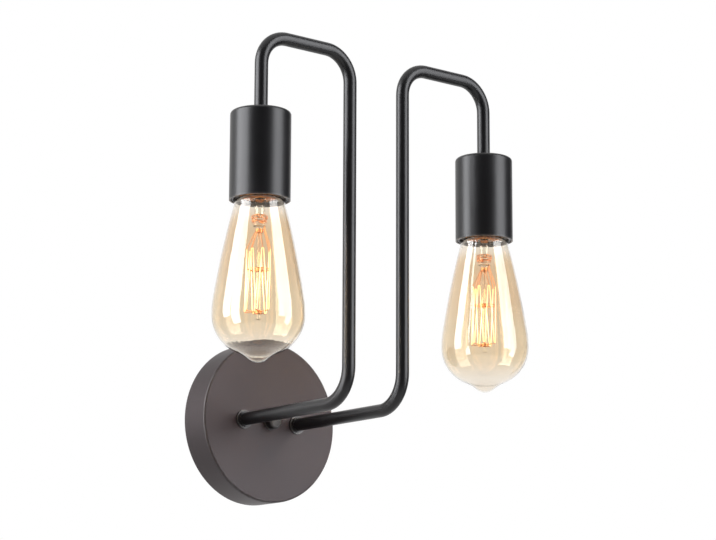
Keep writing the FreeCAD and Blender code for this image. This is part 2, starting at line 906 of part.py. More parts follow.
def build_holder(side, sign):
    """Moulded lampholder body with a stepped bore, and screw and lead holes in its roof."""
    outer = holder_diameter / 2
    rim = outer - size.holder_rim_width
    bore = shell_diameter / 2 + size.fit_gap
    throat = shell_crest_diameter / 2
    body = turned(
        f"{side}_holder_body",
        [
            (0, holder_ceiling),
            (throat, holder_ceiling),
            (throat, shell_top),
            (bore, shell_top),
            (bore, size.holder_face_recess),
            (rim, size.holder_face_recess),
            (rim, size.holder_rim_recess),
            (outer, size.holder_rim_recess),
            (outer, holder_top - size.holder_chamfer),
            (outer - size.holder_chamfer, holder_top),
            (0, holder_top),
        ],
    )
    for name, spacing, across, diameter, depth in (
        ("yoke", yoke_screw_spacing, True, size.small_screw_diameter, size.small_screw_length),
        ("terminal", terminal_spacing, False, size.small_screw_diameter, size.small_screw_length),
        ("lead", lead_hole_spacing, False, size.lead_diameter, size.terminal_hole_depth),
    ):
        holes = new_sketch(body, f"{side}_{name}_holes", "XY_Plane")
        holes.setExpression("AttachmentOffset.Base.z", holder_top.text)
        for half in (spacing / 2, -spacing / 2):
            centre = (half, 0) if across else (0, half)
            draw_circle(holes, *centre, diameter + size.fit_gap * 2)
        sunk(body, holes, depth)
    hang(body, sign)
    keep(body, f"{side}_holder_body")


def build_small_screws(side, sign, name, spacing, across, seat):
    """Two like screws side by side, heads up, as one group."""
    head = size.small_head_diameter / 2
    shank = size.small_screw_diameter / 2
    below = size.small_screw_length + seat - holder_top
    pieces = []
    for number, half in enumerate((spacing / 2, -spacing / 2), start=1):
        screw = turned(
            f"{side}_{name}_{number}",
            [
                (0, -below),
                (shank, -below),
                (shank, 0),
                (head, 0),
                (head, size.small_head_height),
                (0, size.small_head_height),
            ],
        )
        place(screw, x=half if across else 0, y=0 if across else half)
        pieces.append(screw)
    group = joined(f"{side}_{name}s", pieces)
    hang(group, sign, seat)
    keep(group, f"{side}_{name}s")


def helix_bar(name, diameter, start, turns):
    """A round bar wound at the thread's pitch, for a bead or a groove."""
    middle = size.thread_diameter / 2 - size.thread_bead_radius
    helix = doc.addObject("Part::Helix", f"{name}_helix")
    helix.setExpression("Pitch", size.thread_pitch.text)
    helix.setExpression("Height", (size.thread_pitch * turns).text)
    helix.setExpression("Radius", middle.text)
    place(helix, z=start)
    section = doc.addObject("Part::Circle", f"{name}_section")
    section.setExpression("Radius", (diameter / 2).text)
    place(section, x=middle, z=start, turn=FRONT)
    bar = doc.addObject("Part::Sweep", f"{name}_bar")
    doc.recompute()
    bar.Sections = [section]
    bar.Spine = (helix, ["Edge1"])
    bar.Solid = True
    bar.Frenet = True
    doc.recompute()
    return bar


def build_shell(side, sign):
    """Threaded metal shell inside the holder, grooved one pitch below and above the cap's thread."""
    outer = shell_diameter / 2
    crest = shell_crest_diameter / 2
    mouth = shell_mouth_diameter / 2
    low = size.holder_face_recess
    blank = turned(
        f"{side}_shell_blank",
        [
            (mouth, low),
            (outer, low),
            (outer, shell_top),
            (crest, shell_top),
            (crest, low + size.shell_mouth_depth),
            (mouth, low + size.shell_mouth_depth),
        ],
    )
    groove_start = size.seam_height + size.thread_start - size.thread_pitch
    groove = helix_bar(
        f"{side}_groove",
        (size.thread_bead_radius + size.thread_clearance) * 2,
        groove_start,
        size.thread_turns + 2,
    )
    shell = less(f"{side}_screw_shell", blank, groove)
    hang(shell, sign)
    keep(shell, f"{side}_screw_shell")


def build_tongue(side, sign):
    """Springy contact strip under the holder's roof, just above the bulb's contact button."""
    body = new_body(f"{side}_centre_contact")
    profile = new_sketch(body, f"{side}_contact_profile", "XZ_Plane")
    thick = size.tongue_thickness
    roof = holder_ceiling
    low = contact_top + size.contact_gap
    half = size.tongue_length / 2
    draw(
        profile,
        [
            (-half, roof),
            (-half, roof - thick),
            (-half / 4, roof - thick),
            (half / 2, low),
            (half, low),
            (half, low + thick),
            (half / 2, low + thick),
            (-half / 4, roof),
        ],
    )
    padded(body, profile, size.tongue_width, both_ways=True)
    hang(body, sign)
    keep(body, f"{side}_centre_contact")


def build_leads(side, sign):
    """Hot and neutral leads, from the splices in the canopy through the arm to the terminals."""
    x_in = arm_x * sign
    x_out = cup_x * sign
    roof = size.cup_mouth_height + holder_top
    bend = size.lead_bend_radius.number
    kink = size.lead_kink_radius.number
    upper = size.upper_bend_radius.number
    for name, way in (("hot", -1), ("neutral", 1)):
        near = way == sign
        x_splice = size.connector_side * way + lead_offset * sign
        x_start = x_in + lead_offset * way
        y_splice = -connector_level
        y_layer = y_splice + size.lead_layer * way
        z_crossing = size.connector_height / 2 - size.lead_crossing_gap * way
        splice = [vector(x_splice, y_splice, size.connector_height + size.lead_in_connector)]
        if near:
            # drops straight past the lead that crosses to the other arm, then slants in under it
            z_pass = z_crossing - size.lead_pass_drop
            crossing = [
                vector(x_splice, y_splice, z_pass),
                vector(x_start, y_layer, z_pass - size.lead_pass_slant),
            ]
            bends = [kink, kink, kink]
        else:
            crossing = [
                vector(x_splice, y_splice, size.connector_height - size.lead_tail),
                vector(x_splice, y_layer, z_crossing),
                vector(x_start, y_layer, z_crossing),
            ]
            bends = [bend, kink, kink, kink]
        y_top = -(size.arm_projection + lead_offset * way)
        y_terminal = -(size.arm_projection + lead_hole_spacing / 2 * way)
        arm_run = [
            vector(x_start, y_layer, 0),
            vector(x_start, -size.arm_projection, 0),
            vector(x_in, y_top, size.arm_height),
            vector(x_out, y_top, size.arm_height),
            vector(x_out, y_top, roof + yoke_height / 2),
            vector(x_out, y_terminal, roof + yoke_height / 3),
            vector(x_out, y_terminal, roof - size.terminal_hole_depth),
        ]
        bends += [size.lower_bend_radius.number, upper, upper, kink, kink]
        route = rounded_path(f"{side}_{name}_lead", splice + crossing + arm_run, bends)
        keep(swept(f"{side}_{name}_lead", route, size.lead_diameter), f"{side}_{name}_lead")


def build_bulb_cap(side, sign):
    """Brass screw cap with a rolled thread, the black insulator in its end and the contact button."""
    skirt = cap_skirt_diameter / 2
    root = cap_root_diameter / 2
    wall = size.cap_wall
    opening = root - size.cap_lip
    shoulder = size.cap_skirt_height + skirt - root
    blank = turned(
        f"{side}_cap_blank",
        [
            (0, 0),
            (skirt, 0),
            (skirt, size.cap_skirt_height),
            (root, shoulder),
            (root, size.cap_height),
            (0, size.cap_height),
        ],
    )
    bead = helix_bar(f"{side}_bead", size.thread_bead_radius * 2, size.thread_start, size.thread_turns)
    hollow = turned(
        f"{side}_cap_hollow",
        [
            (0, 0),
            (skirt - wall, 0),
            (skirt - wall, size.cap_skirt_height),
            (root - wall, shoulder),
            (root - wall, size.cap_height - wall),
            (opening, size.cap_height - wall),
            (opening, size.cap_height),
            (0, size.cap_height),
        ],
    )
    cap = less(f"{side}_bulb_cap", joined(f"{side}_cap_rolled", [blank, bead]), hollow)
    hang(cap, sign, size.seam_height)
    keep(cap, f"{side}_bulb_cap")
    plug = opening - size.insulator_gap
    button = size.button_diameter / 2
    insulator = turned(
        f"{side}_bulb_insulator",
        [
            (0, size.cap_height - size.insulator_base),
            (plug, size.cap_height - size.insulator_base),
            (plug, size.cap_height + size.insulator_shoulder),
            (button + size.insulator_shoulder, size.insulator_top),
            (0, size.insulator_top),
        ],
    )
    hang(insulator, sign, size.seam_height)
    keep(insulator, f"{side}_bulb_insulator")
    edge = size.button_edge_radius
    contact = turned(
        f"{side}_bulb_contact",
        [
            (0, 0),
            (button, 0),
            (button, size.button_height - edge),
            (button - edge, size.button_height, edge),
            (0, size.button_height),
        ],
    )
    hang(contact, sign, size.seam_height + size.insulator_top)
    keep(contact, f"{side}_bulb_contact")


def build_glass(side, sign):
    """Blown glass: neck in the cap, shoulder, long swelling side, belly, bowl, and drawn tip."""
    wall = size.glass_wall
    neck = cap_skirt_diameter / 2 - size.cap_wall - size.fit_gap
    ledge = neck + size.glass_ledge
    shoulder = ledge + size.shoulder_reach
    belly = size.belly_diameter / 2
    side_end = belly - size.side_inset
    side_depth = size.shoulder_depth + size.side_length
    belly_depth = side_depth + size.belly_drop
    funnel = size.funnel_diameter / 2
    funnel_top = belly_depth + size.bowl_depth
    tip = size.glass_tip_diameter / 2
    tip_top = funnel_top + size.funnel_depth
    end = tip_top + size.glass_tip_depth
    outside = [
        (neck, size.neck_in_cap),
        (neck, 0),
        (ledge, 0),
        (shoulder, -size.shoulder_depth, -size.shoulder_radius),
        (side_end, -side_depth, -size.side_radius),
        (belly, -belly_depth, -size.belly_blend_radius),
        (funnel, -funnel_top, -size.bowl_radius),
        (tip, -tip_top, size.funnel_radius),
        (0, -end, -size.glass_tip_radius),
    ]
    inside = [
        (0, wall - end),
        (tip, wall - tip_top, size.glass_tip_radius),
        (funnel, wall - funnel_top, -size.funnel_radius),
        (belly - wall, -belly_depth, size.bowl_radius - wall),
        (side_end - wall, -side_depth, size.belly_blend_radius - wall),
        (shoulder - wall, -size.shoulder_depth, size.side_radius - wall),
        (ledge, -wall, size.shoulder_radius - wall),
        (neck - wall, -wall),
        (neck - wall, size.neck_in_cap),
    ]
    glass = turned(f"{side}_bulb_glass", outside + inside)
    hang(glass, sign, size.seam_height)
    keep(glass, f"{side}_bulb_glass")


def build_stem(side, sign):
    """Glass stem: flare sealed in the neck, hollow tube, press that grips the wires, long thin rod."""
    flare = cap_skirt_diameter / 2 - size.cap_wall - size.glass_wall - size.fit_gap * 2
    stem = size.stem_diameter / 2
    press = size.press_diameter / 2
    rod = size.rod_diameter / 2
    bore = stem - size.stem_wall
    low = size.stem_flare_height - size.stem_flare_thickness
    body = turned(
        f"{side}_bulb_stem",
        [
            (bore, size.stem_flare_height),
            (flare, size.stem_flare_height),
            (flare, low),
            (stem, low - stem),
            (stem, -size.stem_depth),
            (press, -size.stem_depth - stem / 2),
            (press, -size.press_depth),
            (rod, -size.press_depth),
            (rod, -size.lower_hub_depth - size.rod_end),
            (0, -size.lower_hub_depth - size.rod_end),
            (0, -size.stem_depth - bore),
            (bore, -size.stem_depth),
        ],
    )
    hang(body, sign, size.seam_height)
    keep(body, f"{side}_bulb_stem")


def around(radius, angle, height):
    """A point at a radius and an angle in degrees about the bulb's axis."""
    turn = math.radians(angle)
    return FreeCAD.Vector(radius * math.cos(turn), radius * math.sin(turn), height)


def filament_corners():
    """The hairpins' turning points in order: one angle and level for each, starting at the top."""
    step = size.filament_arc.number / HAIRPINS
    corners = []
    for count in range(HAIRPINS):
        corners.append((step * count, "top"))
        corners.append((step * (count + 0.5), "bottom"))
    corners.append((step * HAIRPINS, "top"))
    return corners


def filament_place(level):
    """Radius and height of the filament's turns at one level."""
    if level == "top":
        return size.filament_top_radius.number, -size.filament_top.number
    return size.filament_bottom_radius.number, -size.filament_bottom.number


def build_filament(side, sign):
    """One continuous wire that zigzags between the upper and lower hooks."""
    corners = filament_corners()
    points = []
    for index, (angle, level) in enumerate(corners):
        radius, height = filament_place(level)
        if index in (0, len(corners) - 1):
            points.append(around(radius, angle, height))
            continue
        half = math.degrees(size.filament_turn.number / 2 / radius)
        points.append(around(radius, angle - half, height))
        points.append(around(radius, angle + half, height))
    bend = size.filament_turn.number * 0.4
    route = rounded_path(f"{side}_filament", points, [bend] * (len(points) - 2))
    wire = swept(f"{side}_bulb_filament", route, size.filament_diameter)
    hang(wire, sign, size.seam_height)
    keep(wire, f"{side}_bulb_filament")


def support_reach():
    """How far the end of a support wire's centre line stays from the filament's."""
    wires = size.filament_diameter.number + size.support_wire_diameter.number
    return wires / 2 + size.support_gap.number


def spoke(name, start, finish):
    """A straight support wire between two points."""
    line = doc.addObject("Part::Feature", f"{name}_line")
    line.Shape = Part.Wire([Part.LineSegment(start, finish).toShape()])
    return swept(name, line, size.support_wire_diameter)


def build_supports(side, sign):
    """Hubs on the stem's rod with a support wire to each hairpin, and a ring half way down."""
    hub_radius = size.hub_diameter.number / 2 - size.fit_gap.number * 4
    spiders = []
    for level, depth, way in (("top", size.upper_hub_depth, 1), ("bottom", size.lower_hub_depth, -1)):
        name = f"{side}_{level}_hub"
        hub = ring(name, size.hub_diameter, size.rod_diameter + size.fit_gap * 2, size.hub_height)
        place(hub, z=-depth)
        radius, height = filament_place(level)
        middle = size.hub_height.number / 2 - depth.number
        wires = [
            spoke(
                f"{name}_wire_{number}",
                around(hub_radius, angle, middle),
                around(radius, angle, height + support_reach() * way),
            )
            for number, (angle, where) in enumerate(filament_corners())
            if where == level and not (level == "top" and number in (0, 2 * HAIRPINS))
        ]
        spiders.append(joined(f"{name}_spider", [hub] + wires))
    ring_radius = size.filament_top_radius - size.filament_diameter - size.support_wire_diameter
    hoop = doc.addObject("Part::Torus", f"{side}_middle_hoop")
    hoop.setExpression("Radius1", ring_radius.text)
    hoop.setExpression("Radius2", (size.support_wire_diameter / 2).text)
    place(hoop, z=-size.middle_ring_depth)
    hub = ring(
        f"{side}_middle_hub", size.hub_diameter, size.rod_diameter + size.fit_gap * 2, size.hub_height
    )
    place(hub, z=-(size.middle_ring_depth + size.hub_height / 2))
    level = -size.middle_ring_depth.number
    spokes = [
        spoke(
            f"{side}_middle_spoke_{number}",
            around(hub_radius, 360 / RING_SPOKES * number, level),
            around(ring_radius.number, 360 / RING_SPOKES * number, level),
        )
        for number in range(RING_SPOKES)
    ]
    spiders.append(joined(f"{side}_middle_spider", [hub, hoop] + spokes))
    group = joined(f"{side}_bulb_supports", spiders)
    hang(group, sign, size.seam_height)
    keep(group, f"{side}_bulb_supports")


def build_lead_ins(side, sign):
    """The two wires that carry current from the stem's press to the filament's ends."""
    corners = filament_corners()
    radius, height = filament_place("top")
    wire = size.support_wire_diameter.number
    start_radius = size.press_diameter.number / 2 - wire
    start_height = -size.press_depth.number
    wires = []
    for number, angle in enumerate((corners[0][0], corners[-1][0]), start=1):
        points = [
            around(start_radius, angle, start_height),
            around(start_radius, angle, start_height - 3 * wire),
            around(radius, angle, height + support_reach()),
        ]
        route = rounded_path(f"{side}_lead_in_{number}", points, [2 * wire])
        wires.append(swept(f"{side}_lead_in_{number}", route, size.support_wire_diameter))
    group = joined(f"{side}_bulb_lead_ins", wires)
    hang(group, sign, size.seam_height)
    keep(group, f"{side}_bulb_lead_ins")


def check_all():
    """Stop if any object failed, or if a node's shape is null, not valid or without a solid."""
    for piece in doc.Objects:
        if "Invalid" in piece.State or "Error" in piece.State:
            raise ValueError(f"{piece.Label} failed: {piece.State}")
    for piece in nodes:
        if piece.Shape.isNull() or not piece.Shape.isValid() or not piece.Shape.Solids:
            raise ValueError(f"{piece.Label} has no sound solid")


def export_all():
    """Write one file for each node."""
    os.makedirs("parts", exist_ok=True)
    for piece in nodes:
        piece.Shape.exportStep(f"parts/{piece.Label}.step")
        print(f"{piece.Label}: {len(piece.Shape.Solids)} solid(s), {piece.Shape.Volume:.1f} mm3")


build_canopy()
build_crossbar()
build_centre_fixings()
build_ground()
build_connectors()
build_arm_clamps()
for side, sign in SIDES.items():
    build_arm(side, sign)
    build_arm_fixings(side, sign)
    build_cup(side, sign)
    build_yoke(side, sign)
    build_holder(side, sign)
    build_small_screws(
        side, sign, "yoke_screw", yoke_screw_spacing, True, holder_top + size.yoke_thickness
    )
    build_small_screws(side, sign, "terminal_screw", terminal_spacing, False, holder_top)
    build_shell(side, sign)
    build_tongue(side, sign)
    build_leads(side, sign)
    build_bulb_cap(side, sign)
    build_glass(side, sign)
    build_stem(side, sign)
    build_filament(side, sign)
    build_supports(side, sign)
    build_lead_ins(side, sign)
doc.recompute()
check_all()
export_all()
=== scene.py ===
import json
import math

import bpy
from mathutils import Matrix, Vector


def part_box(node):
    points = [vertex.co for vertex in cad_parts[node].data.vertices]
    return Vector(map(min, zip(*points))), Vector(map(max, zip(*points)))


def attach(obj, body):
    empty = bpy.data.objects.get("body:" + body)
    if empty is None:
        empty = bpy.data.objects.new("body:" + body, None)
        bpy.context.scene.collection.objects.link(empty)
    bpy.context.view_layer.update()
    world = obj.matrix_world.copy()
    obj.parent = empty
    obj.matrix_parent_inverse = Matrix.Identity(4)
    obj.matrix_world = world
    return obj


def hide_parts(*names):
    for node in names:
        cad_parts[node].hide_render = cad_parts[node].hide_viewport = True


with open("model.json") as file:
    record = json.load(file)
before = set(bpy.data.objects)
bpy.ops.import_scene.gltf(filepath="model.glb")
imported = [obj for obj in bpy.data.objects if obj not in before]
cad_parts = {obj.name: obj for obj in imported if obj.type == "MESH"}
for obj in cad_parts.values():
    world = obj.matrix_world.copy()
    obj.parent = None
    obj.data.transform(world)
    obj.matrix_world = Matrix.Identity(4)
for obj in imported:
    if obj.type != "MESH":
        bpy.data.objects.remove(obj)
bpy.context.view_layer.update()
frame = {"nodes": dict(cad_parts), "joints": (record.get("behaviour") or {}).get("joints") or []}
bpy.ops.object.select_all(action="DESELECT")


# Crossbar, its nut and the centre screw: strip steel and turned steel with a bright zinc plate.
# The bar screws to the junction box behind the canopy, and the screw stands out of its middle to
# hold the canopy on.
class Value:
    """The output of a shader node. Arithmetic on it adds Math nodes."""

    def __init__(self, nodes, socket):
        self.nodes = nodes
        self.socket = socket

    def maths(self, operation, first, second=0.0):
        return self.nodes.node("ShaderNodeMath", {"operation": operation}, {0: first, 1: second})

    def __add__(self, other):
        return self.maths("ADD", self, other)

    def __sub__(self, other):
        return self.maths("SUBTRACT", self, other)

    def __rsub__(self, other):
        return self.maths("SUBTRACT", other, self)

    def __mul__(self, other):
        return self.maths("MULTIPLY", self, other)

    def __pow__(self, other):
        return self.maths("POWER", self, other)

    def sine(self):
        return self.maths("SINE", self)

    def fade(self, full, gone):
        """1 where the value is at full, 0 where it is at gone, and smooth between."""
        ends = {"Value": self, "From Min": gone, "From Max": full}
        return self.nodes.node("ShaderNodeMapRange", {"interpolation_type": "SMOOTHSTEP"}, ends)

    __radd__ = __add__
    __rmul__ = __mul__


class Nodes:
    """The shader nodes of a finish or of the room."""

    def __init__(self, tree):
        self.tree = tree

    def node(self, kind, settings=(), sockets=(), output=0):
        """Add a node, with its settings first and then the values or links of its sockets."""
        made = self.tree.nodes.new(kind)
        for name, value in dict(settings).items():
            setattr(made, name, value)
        for name, value in dict(sockets).items():
            self.put(made.inputs[name], value)
        return Value(self, made.outputs[output])

    def put(self, socket, value):
        if isinstance(value, Value):
            self.tree.links.new(value.socket, socket)
        else:
            socket.default_value = value


class Finish(Nodes):
    """A material under way: its shader's steady values, then the patterns laid over them."""

    def __init__(self, name, **steady):
        self.material = bpy.data.materials.new(name)
        self.material.use_nodes = True
        super().__init__(self.material.node_tree)
        self.shader = self.tree.nodes["Principled BSDF"]
        self.feed(**steady)

    def feed(self, **sockets):
        for name, value in sockets.items():
            self.put(self.shader.inputs[name.replace("_", " ")], value)

    def place(self, centre=(0, 0, 0), factors=(1, 1, 1)):
        """The place on the object, measured from a centre and stretched."""
        sockets = {
            "Vector": self.node("ShaderNodeTexCoord", output="Object"),
            "Location": [-at * factor for at, factor in zip(centre, factors)],
            "Scale": factors,
        }
        return self.node("ShaderNodeMapping", (), sockets)

    def noise(self, scale, detail=2.0, place=None):
        sockets = {"Vector": place or self.place(), "Scale": scale, "Detail": detail}
        return self.node("ShaderNodeTexNoise", (), sockets, "Fac")

    def along(self, axis, centre=(0, 0, 0)):
        return self.node("ShaderNodeSeparateXYZ", (), {0: self.place(centre)}, axis)

    def from_edge(self, axis, radius, centre):
        """How far a place is from a round edge: a circle across an axis, round a centre."""
        across = [self.along(other, centre) ** 2.0 for other in "XYZ" if other != axis]
        outward = (across[0] + across[1]) ** 0.5 - radius
        return (outward ** 2.0 + self.along(axis, centre) ** 2.0) ** 0.5

    def between(self, mask, first, second):
        """A colour that goes from the first to the second as the mask goes from 0 to 1."""
        sockets = {0: mask}
        for number, colour in ((6, first), (7, second)):
            sockets[number] = colour if isinstance(colour, Value) else (*colour, 1)
        return self.node("ShaderNodeMix", {"data_type": "RGBA"}, sockets, 2)

    def bump(self, height, depth):
        self.feed(Normal=self.node("ShaderNodeBump", (), {"Height": height, "Distance": depth}))


def finish(node, made):
    for holder in frame["nodes"][node].material_slots:
        holder.material = made.material


def metal(name, dull, bright, roughness, thread=None):
    """Plated or plain metal: clouds in its tone and fine grain in its gloss.

    A thread is given by its axis and pitch, and shows in the bump.
    """
    made = Finish(name, Metallic=1.0)
    clouds = made.noise(scale=140, detail=3)
    grain = made.noise(scale=1300)
    made.feed(Base_Color=made.between(clouds, dull, bright), Roughness=grain * 0.16 + roughness)
    relief = grain * 0.06
    if thread:
        axis, pitch = thread
        relief = relief + (made.along(axis) * (math.tau / pitch)).sine() * 0.5
    made.bump(relief, depth=0.0002)
    return made


def threaded_zinc(name, axis, pitch):
    return metal(name, (0.42, 0.43, 0.45), (0.62, 0.63, 0.66), 0.26, thread=(axis, pitch))


zinc = metal("zinc_plate", (0.44, 0.45, 0.47), (0.66, 0.67, 0.70), 0.24)
finish("crossbar", zinc)
finish("crossbar_nut", zinc)
finish("centre_screw", threaded_zinc("zinc_screw_thread", "Y", pitch=0.0007))


# Ground screw and ground lead: a steel screw dyed green over its zinc, and a bare copper wire
# whose eye is held under the screw's head on the crossbar. Handling has dulled the copper.
green = metal("green_dyed_zinc", (0.02, 0.17, 0.05), (0.05, 0.30, 0.11), 0.28)
finish("ground_screw", green)
copper = metal("drawn_copper", (0.46, 0.19, 0.10), (0.80, 0.42, 0.25), 0.25)
finish("ground_lead", copper)


# Wire connectors: three moulded twist-on caps, each with a plain skirt round its mouth, a grooved
# taper for the fingers and a deep bore for the twisted wires. They hang on the wires' ends.
mouth_radius, tip_radius, bore_radius = 0.0065, 0.00375, 0.0032
skirt, whole_length, bore_depth, lip = 0.003, 0.022, 0.016, 0.0006
facets, groove_margin, groove_depth = 40, 0.00012, 0.0004
ends_across, ends_forward, ends_up = 0.030, -0.013, 0.022


def pick(test):
    """In edit mode, select just the faces whose centre and normal pass the test."""
    bpy.ops.mesh.select_mode(type="FACE")
    bpy.ops.mesh.select_all(action="DESELECT")
    bpy.ops.object.mode_set(mode="OBJECT")
    for face in bpy.context.object.data.polygons:
        face.select = test(face.center, face.normal)
    bpy.ops.object.mode_set(mode="EDIT")


def close_piece(bevel, smooth_angle=40):
    """Leave edit mode with sound faces and softly rounded edges."""
    bpy.ops.mesh.select_all(action="SELECT")
    bpy.ops.mesh.remove_doubles(threshold=0.000001)
    bpy.ops.mesh.normals_make_consistent(inside=False)
    bpy.ops.object.mode_set(mode="OBJECT")
    piece = bpy.context.object
    if bevel:
        rounding = piece.modifiers.new("rounding", "BEVEL")
        rounding.width = bevel
        rounding.segments = 2
        rounding.limit_method = "ANGLE"
        bpy.ops.object.modifier_apply(modifier="rounding")
    bpy.ops.object.shade_smooth_by_angle(angle=math.radians(smooth_angle))
    return piece


def settle(piece, name, made, body):
    """Fix a shaped piece where it stands, name it, finish it and let it ride on its body."""
    bpy.ops.object.select_all(action="DESELECT")
    piece.select_set(True)
    bpy.context.view_layer.objects.active = piece
    bpy.ops.object.transform_apply(location=True, rotation=True, scale=True)
    piece.name = name
    piece.data.materials.clear()
    piece.data.materials.append(made.material)
    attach(piece, body)
    piece.select_set(False)


def copy_of(piece):
    """A copy with its own mesh, not yet placed."""
    twin = piece.copy()
    twin.data = piece.data.copy()
    bpy.context.scene.collection.objects.link(twin)
    return twin


def in_a_groove(centre, normal):
    """Whether a face is one of every second facet of the taper, which are sunk as grooves."""
    facet = round(math.atan2(centre.y, centre.x) / math.tau * facets - 0.5)
    return centre.z > skirt and abs(normal.z) < 0.9 and facet % 2 == 0


bpy.ops.mesh.primitive_cylinder_add(
    vertices=facets, radius=mouth_radius, depth=skirt, location=(0, 0, skirt / 2))
bpy.ops.object.transform_apply(location=True)
bpy.ops.object.mode_set(mode="EDIT")
pick(lambda centre, normal: normal.z > 0.9)
bpy.ops.mesh.extrude_region_move(
    TRANSFORM_OT_translate={"value": (0, 0, whole_length - skirt)})
bpy.ops.transform.resize(value=[tip_radius / mouth_radius] * 2 + [1])
pick(in_a_groove)
bpy.ops.mesh.inset(thickness=groove_margin, depth=-groove_depth, use_individual=True)
pick(lambda centre, normal: normal.z < -0.9 and centre.z < skirt)
bpy.ops.mesh.inset(thickness=mouth_radius - bore_radius - lip)
bpy.ops.mesh.inset(thickness=lip, depth=-lip)
bpy.ops.mesh.extrude_region_move(TRANSFORM_OT_translate={"value": (0, 0, bore_depth - lip)})
connector = close_piece(bevel=0.00018)

moulding = Finish("connector_moulding", IOR=1.5)
flow = moulding.noise(scale=120, place=moulding.place(factors=(1, 1, 0.3)))
grain = moulding.noise(scale=2400, detail=1)
moulding.feed(Base_Color=moulding.between(flow, (0.60, 0.13, 0.015), (0.72, 0.19, 0.03)),
              Roughness=grain * 0.2 + 0.32)
moulding.bump(grain, depth=0.00001)
for name, across, upward in (("hot", -1, 1), ("neutral", 1, 1), ("ground", 1, -1)):
    cap = copy_of(connector)
    cap.location = (ends_across * across, ends_forward, ends_up * upward)
    cap.rotation_euler = (0 if upward > 0 else math.pi, 0, 0)
    settle(cap, f"{name}_wire_connector", moulding, "fixture")
    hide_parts("wire_connectors")
bpy.data.objects.remove(connector)


# Canopy: a shallow pan pressed from sheet steel, with a small rounded front edge and three holes
# in its face. It is powder coated a satin black, and its open back rests on the wall. Its colour
# is a lighter, warmer brown-grey than the other black parts: a painted sheen, standing in for the
# reflection of the right-hand windows on its face.
canopy_rounding = 0.0004


def front_edge(node, rounding):
    """The axis, radius and centre of the edge round the front of a turned node on the wall."""
    low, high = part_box(node)
    return "Y", high.x - rounding, (0, low.y + rounding, 0)


def paint(name, dark, light, roughness, edges=(), **steady):
    """Powder coat: fine orange peel, tone and gloss that drift, and round edges rubbed smoother.

    An edge is given by its axis, its radius and its centre.
    """
    coat = Finish(name, **steady)
    drift = coat.noise(scale=38)
    peel = coat.noise(scale=1100, detail=1)
    colour = coat.between(drift, dark, light)
    gloss = drift * 0.08 + roughness
    for axis, radius, centre in edges:
        edge = coat.from_edge(axis, radius, centre).fade(full=0.0003, gone=0.0016)
        rubbed = edge * coat.noise(scale=260, detail=3)
        colour = coat.between(rubbed * 0.8, colour, (0.17, 0.165, 0.165))
        gloss = gloss - rubbed * 0.10
    coat.feed(Base_Color=colour, Roughness=gloss)
    coat.bump(peel, depth=0.00002)
    return coat


# Painted sheen: the canopy's brown-grey base colour holds the right windows' reflection on its face,
# and its gloss is turned down to make room for it.
finish("canopy", paint("canopy_coat_with_painted_sheen", (0.054, 0.036, 0.039), (0.062, 0.042, 0.046), 0.40,
                       [front_edge("canopy", canopy_rounding)], Specular_IOR_Level=0.28))


# Cap nut and its washer: a turned steel nut with a domed front and a flat washer, both black.
# The nut runs on the centre screw and pulls the canopy to the wall.
nut_rounding, washer_rounding = 0.0006, 0.0001


def turned_black(name, edges):
    return paint(name, (0.010, 0.009, 0.010), (0.015, 0.014, 0.015), 0.30, edges)


fitting = turned_black("black_turned_steel", [
    front_edge("cap_nut", nut_rounding), front_edge("cap_nut_washer", washer_rounding)])
finish("cap_nut", fitting)
finish("cap_nut_washer", fitting)


# Arms: one length of steel tube each, bent out of the canopy, up, and over to the cup. The
# threaded nipples in their ends, the nuts and the lock washers are zinc plated, and the stepped
# collars that cover the joint at the canopy are black.
SIDES = {"left": -1, "right": 1}
foot_across, collar_step, collar_radius = 0.0245, -0.0264, 0.0068


def tube_coat(name, roughness, edges=()):
    return paint(name, (0.0085, 0.008, 0.0095), (0.012, 0.0115, 0.0135), roughness, edges,
                 Specular_IOR_Level=0.37)


tube_black = tube_coat("tube_coat", 0.29)
arm_thread = threaded_zinc("zinc_nipple_at_canopy", "Y", pitch=0.0008)
for side, way in SIDES.items():
    flange = ("Y", collar_radius, (foot_across * way, collar_step, 0))
    finish(f"{side}_arm", tube_black)
    finish(f"{side}_arm_nipple", arm_thread)
    finish(f"{side}_arm_collar", turned_black(f"{side}_collar_black", [flange]))
finish("arm_nuts", zinc)
finish("lock_washers", metal("washer_zinc", (0.40, 0.41, 0.43), (0.60, 0.61, 0.64), 0.30))


# Leads: two stranded wires in soft plastic for each lamp, black for hot and white for neutral,
# drawn through the tube from the connectors to the lampholder's terminals.
def insulation(name, dark, light):
    """Extruded soft plastic, faintly streaked, with handling marks in its gloss."""
    sleeve = Finish(name, IOR=1.5)
    streaks = sleeve.noise(scale=420, detail=3)
    marks = sleeve.noise(scale=90)
    sleeve.feed(Base_Color=sleeve.between(marks, dark, light), Roughness=streaks * 0.2 + 0.30)
    sleeve.bump(streaks, depth=0.00001)
    return sleeve


black_sleeve = insulation("black_insulation", (0.010, 0.010, 0.011), (0.022, 0.021, 0.022))
white_sleeve = insulation("white_insulation", (0.66, 0.65, 0.61), (0.80, 0.79, 0.76))
for side in SIDES:
    finish(f"{side}_hot_lead", black_sleeve)
    finish(f"{side}_neutral_lead", white_sleeve)


# Cups: drawn steel shells that hide the lampholders, coated as the tubes are, with a cut edge at
# the mouth that is rubbed a little smoother. A small tapered collar closes each to its tube.
cup_low, cup_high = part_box("left_cup")
mouth_level, mouth_edge_radius = cup_low.z, 0.0210
shoulder_level, shoulder_radius = cup_high.z - 0.0017, 0.0203
cup_collar_level, cup_collar_radius = cup_high.z + 0.0005, 0.0066


def seam(side):
    """Where a bulb's glass meets its cap, on the axis that the bulb shares with its cup.

    The bulb turns about this place.
    """
    return next(joint["pos_m"] for joint in frame["joints"] if joint["name"] == f"{side}_bulb_turn")


